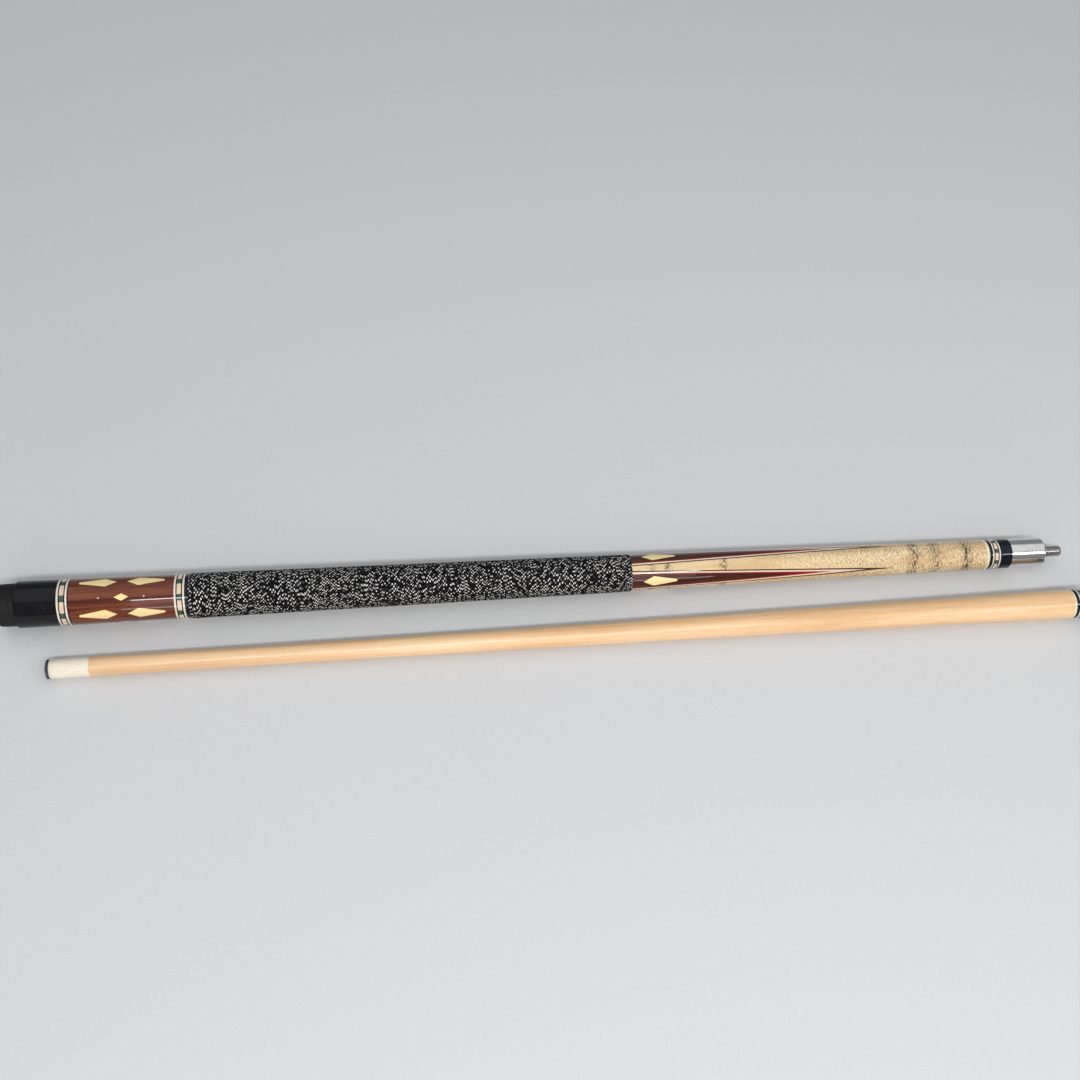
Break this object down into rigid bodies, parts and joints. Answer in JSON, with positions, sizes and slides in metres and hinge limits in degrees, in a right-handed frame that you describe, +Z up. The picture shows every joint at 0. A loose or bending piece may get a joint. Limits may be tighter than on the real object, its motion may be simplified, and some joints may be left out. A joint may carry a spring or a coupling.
{
  "type": "pool cue",
  "caption": "Two-piece pool cue taken apart: inlaid butt with linen wrap, steel joint and threaded pin, and a plain tapered maple shaft with ferrule and leather tip.",
  "frame": {"origin": "middle of the pair of halves, on the surface they lie on", "axes": "+X along the cue towards the joint ends, +Z up, the shaft on the -Y side of the butt"},
  "size_m": [0.7681, 0.0716, 0.0319],
  "materials": {
    "rubber": "matt moulded rubber",
    "gloss_black": "polished black resin",
    "ring_white": "polished white resin",
    "ring_black": "polished black resin",
    "ivory": "polished ivory-coloured resin",
    "green_stone": "polished grey-green stone-like resin",
    "rosewood": "high-gloss lacquered rosewood",
    "inlay": "pale yellow inlay under lacquer",
    "core_maple": "plain maple",
    "linen": "black linen thread with white flecks, pressed",
    "figured_maple": "lacquered figured maple",
    "veneer_black": "dyed black veneer under lacquer",
    "veneer_white": "pale veneer under lacquer",
    "veneer_red": "dyed red veneer under lacquer",
    "polished_steel": "polished stainless steel",
    "steel": "plain turned steel",
    "brass": "turned brass",
    "shaft_maple": "satin maple",
    "ferrule_white": "polished ivory-coloured ferrule",
    "leather": "pressed leather, worn dark"
  },
  "bodies": {
    "butt": {"rubber_bumper": "rubber", "bumper_screw": "steel", "butt_cap": "gloss_black", "rear_white_rings": "ring_white", "rear_black_rings": "ring_black", "rear_ivory_blocks": "ivory", "rear_green_blocks": "green_stone", "butt_sleeve": "rosewood", "sleeve_spears": "inlay", "sleeve_diamonds": "inlay", "sleeve_dots": "inlay", "front_white_rings": "ring_white", "front_black_rings": "ring_black", "front_ivory_blocks": "ivory", "front_green_blocks": "green_stone", "handle_core": "core_maple", "linen_wrap": "linen", "forearm_screw": "steel", "forearm": "figured_maple", "black_veneers": "veneer_black", "white_veneers": "veneer_white", "red_veneers": "veneer_red", "rosewood_points": "rosewood", "point_spears": "inlay", "joint_white_rings": "ring_white", "joint_black_rings": "ring_black", "joint_ivory_blocks": "ivory", "joint_green_blocks": "green_stone", "joint_sleeve": "gloss_black", "joint_collar": "polished_steel", "joint_pin": "steel"},
    "weight_bolt": {"weight_bolt": "steel"},
    "shaft_insert": {"shaft_insert": "brass"},
    "shaft": {"shaft": "shaft_maple", "shaft_collar": "gloss_black", "shaft_white_rings": "ring_white", "shaft_black_rings": "ring_black", "shaft_ivory_blocks": "ivory", "shaft_green_blocks": "green_stone", "ferrule": "ferrule_white", "tip": "leather"}
  },
  "joints": [
    {"name": "shaft_advance", "type": "slide", "parent": "butt", "child": "weight_bolt", "axis": [-1, 0, 0.0072], "range_m": [0, 0.01693]},
    {"name": "shaft_swing", "type": "hinge", "parent": "weight_bolt", "child": "shaft_insert", "pos_m": [0.37921, -0.00263, 0.01065], "axis": [0.0007, 0.0002, 1], "range_deg": [0, 180]},
    {"name": "shaft_spin", "type": "hinge", "parent": "shaft_insert", "child": "shaft", "pos_m": [0.38398, -0.02513, 0.01065], "axis": [1, 0, 0.0057], "range_deg": [0, 4320]}
  ],
  "couplings": [
    {"joint": "shaft_spin", "follows": "shaft_advance", "rad_per_m": 4452.7}
  ]
}
